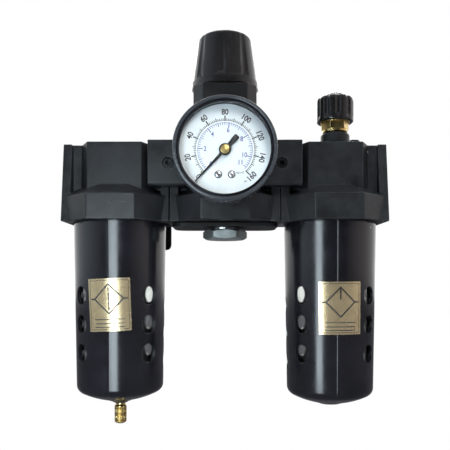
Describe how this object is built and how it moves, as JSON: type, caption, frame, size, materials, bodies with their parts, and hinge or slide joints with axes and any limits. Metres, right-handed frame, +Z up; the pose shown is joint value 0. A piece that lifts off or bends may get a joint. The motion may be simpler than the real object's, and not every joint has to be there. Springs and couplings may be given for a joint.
{
  "type": "filter regulator lubricator",
  "caption": "Compressed-air filter, regulator with dial gauge and lubricator, clamped in a row with guarded bowls, a tall adjusting knob, a sight dome and a wall bracket.",
  "frame": {"origin": "centre of the pipe port axis, on the regulator's own axis", "axes": "+X along the air flow, from the filter to the lubricator; +Z up the regulator axis; -Y out of the gauge's face"},
  "size_m": [0.1906, 0.1001, 0.2348],
  "materials": {
    "cast_black": "satin black enamel on die-cast zinc",
    "guard_black": "gloss black enamel",
    "knob_black": "gloss black moulded",
    "clear": "clear moulded polycarbonate",
    "rubber": "matt black",
    "brass": "bright turned brass",
    "steel": "bright zinc plate",
    "dark_steel": "black oxide",
    "white_plastic": "off-white moulded",
    "bronze": "sintered or drawn bronze",
    "aluminium": "turned",
    "dial": "printed white dial",
    "foil": "printed gold foil"
  },
  "bodies": {
    "root": {"filter_body": "cast_black", "regulator_body": "cast_black", "lubricator_body": "cast_black", "bonnet": "cast_black", "bottom_cover": "cast_black", "gauge_case": "cast_black", "front_clamp_left": "cast_black", "front_clamp_right": "cast_black", "rear_clamp_left": "cast_black", "rear_clamp_right": "cast_black", "gauge_bezel": "guard_black", "gauge_lens": "clear", "siphon_tube": "clear", "filter_bowl_seal": "rubber", "lubricator_bowl_seal": "rubber", "diaphragm": "rubber", "seam_seal_left": "rubber", "seam_seal_right": "rubber", "gauge_stem": "brass", "gauge_movement": "brass", "sight_feed_base": "brass", "range_spring": "steel", "valve_spring": "steel", "bracket_screw_left": "steel", "bracket_screw_right": "steel", "bottom_plug": "dark_steel", "rear_port_plug": "dark_steel", "wall_bracket": "dark_steel", "front_clamp_screw_left": "dark_steel", "front_clamp_screw_right": "dark_steel", "rear_clamp_screw_left": "dark_steel", "rear_clamp_screw_right": "dark_steel", "filter_deflector": "white_plastic", "filter_baffle": "white_plastic", "filter_element": "bronze", "bourdon_tube": "bronze", "siphon_foot": "bronze", "filter_element_post": "aluminium", "bottom_plug_washer": "aluminium", "gauge_dial": "dial"},
    "screw": {"adjusting_screw": "steel"},
    "knob": {"adjusting_knob": "knob_black"},
    "spring_seat": {"spring_seat": "steel"},
    "diaphragm_plate": {"diaphragm_plate": "aluminium"},
    "valve": {"valve_poppet": "brass"},
    "pointer": {"gauge_pointer": "knob_black"},
    "filter_bowl": {"filter_bowl": "clear", "filter_bowl_guard": "guard_black", "filter_label": "foil", "drain_body": "brass", "drain_washer": "rubber"},
    "drain_knob": {"drain_knob": "brass"},
    "lubricator_bowl": {"lubricator_bowl": "clear", "lubricator_bowl_guard": "guard_black", "lubricator_label": "foil"},
    "drip_adjuster": {"drip_knob": "knob_black", "sight_dome": "clear", "feed_needle": "brass"},
    "fill_plug": {"fill_plug": "dark_steel"},
    "flow_flap": {"flow_flap": "bronze"}
  },
  "joints": [
    {"name": "screw_turn", "type": "hinge", "parent": "root", "child": "screw", "pos_m": [0, 0, 0.05], "axis": [0, 0, 1], "range_deg": [-2160, 0]},
    {"name": "knob_pull", "type": "slide", "parent": "screw", "child": "knob", "axis": [0, 0, 1], "range_m": [0, 0.0036]},
    {"name": "spring_seat_travel", "type": "slide", "parent": "root", "child": "spring_seat", "axis": [0, 0, 1], "range_m": [-0.0091, 0], "deforming": ["range_spring"]},
    {"name": "diaphragm_travel", "type": "slide", "parent": "root", "child": "diaphragm_plate", "axis": [0, 0, 1], "range_m": [-0.0012, 0], "stiffness_N_per_m": 2000, "deforming": ["diaphragm"]},
    {"name": "valve_travel", "type": "slide", "parent": "root", "child": "valve", "axis": [0, 0, 1], "range_m": [-0.0013, 0], "deforming": ["valve_spring"]},
    {"name": "pointer_turn", "type": "hinge", "parent": "root", "child": "pointer", "pos_m": [0, -0.058, 0], "axis": [0, 1, 0], "range_deg": [0, 272], "stiffness_Nm_per_rad": 0.0002},
    {"name": "filter_bowl_turn", "type": "hinge", "parent": "root", "child": "filter_bowl", "pos_m": [-0.0639, 0, -0.08], "axis": [0, 0, 1], "range_deg": [0, 30]},
    {"name": "lubricator_bowl_turn", "type": "hinge", "parent": "root", "child": "lubricator_bowl", "pos_m": [0.0639, 0, -0.08], "axis": [0, 0, 1], "range_deg": [0, 30]},
    {"name": "drain_knob_turn", "type": "hinge", "parent": "filter_bowl", "child": "drain_knob", "pos_m": [-0.0639, 0, -0.15], "axis": [0, 0, 1], "range_deg": [0, 540]},
    {"name": "drip_knob_turn", "type": "hinge", "parent": "root", "child": "drip_adjuster", "pos_m": [0.0665, -0.004, 0.035], "axis": [0, 0, 1], "range_deg": [0, 360]},
    {"name": "fill_plug_turn", "type": "hinge", "parent": "root", "child": "fill_plug", "pos_m": [0.0799, 0.005, 0.016], "axis": [0, 0, 1], "range_deg": [0, 1080]},
    {"name": "flow_flap_swing", "type": "hinge", "parent": "root", "child": "flow_flap", "pos_m": [0.0483, 0, 0.0052], "axis": [0, -1, 0], "range_deg": [0, 45], "stiffness_Nm_per_rad": 0.002}
  ],
  "couplings": [
    {"joint": "spring_seat_travel", "follows": "screw_turn", "m_per_rad": 0.00023873},
    {"joint": "valve_travel", "follows": "diaphragm_travel", "ratio": 1}
  ]
}
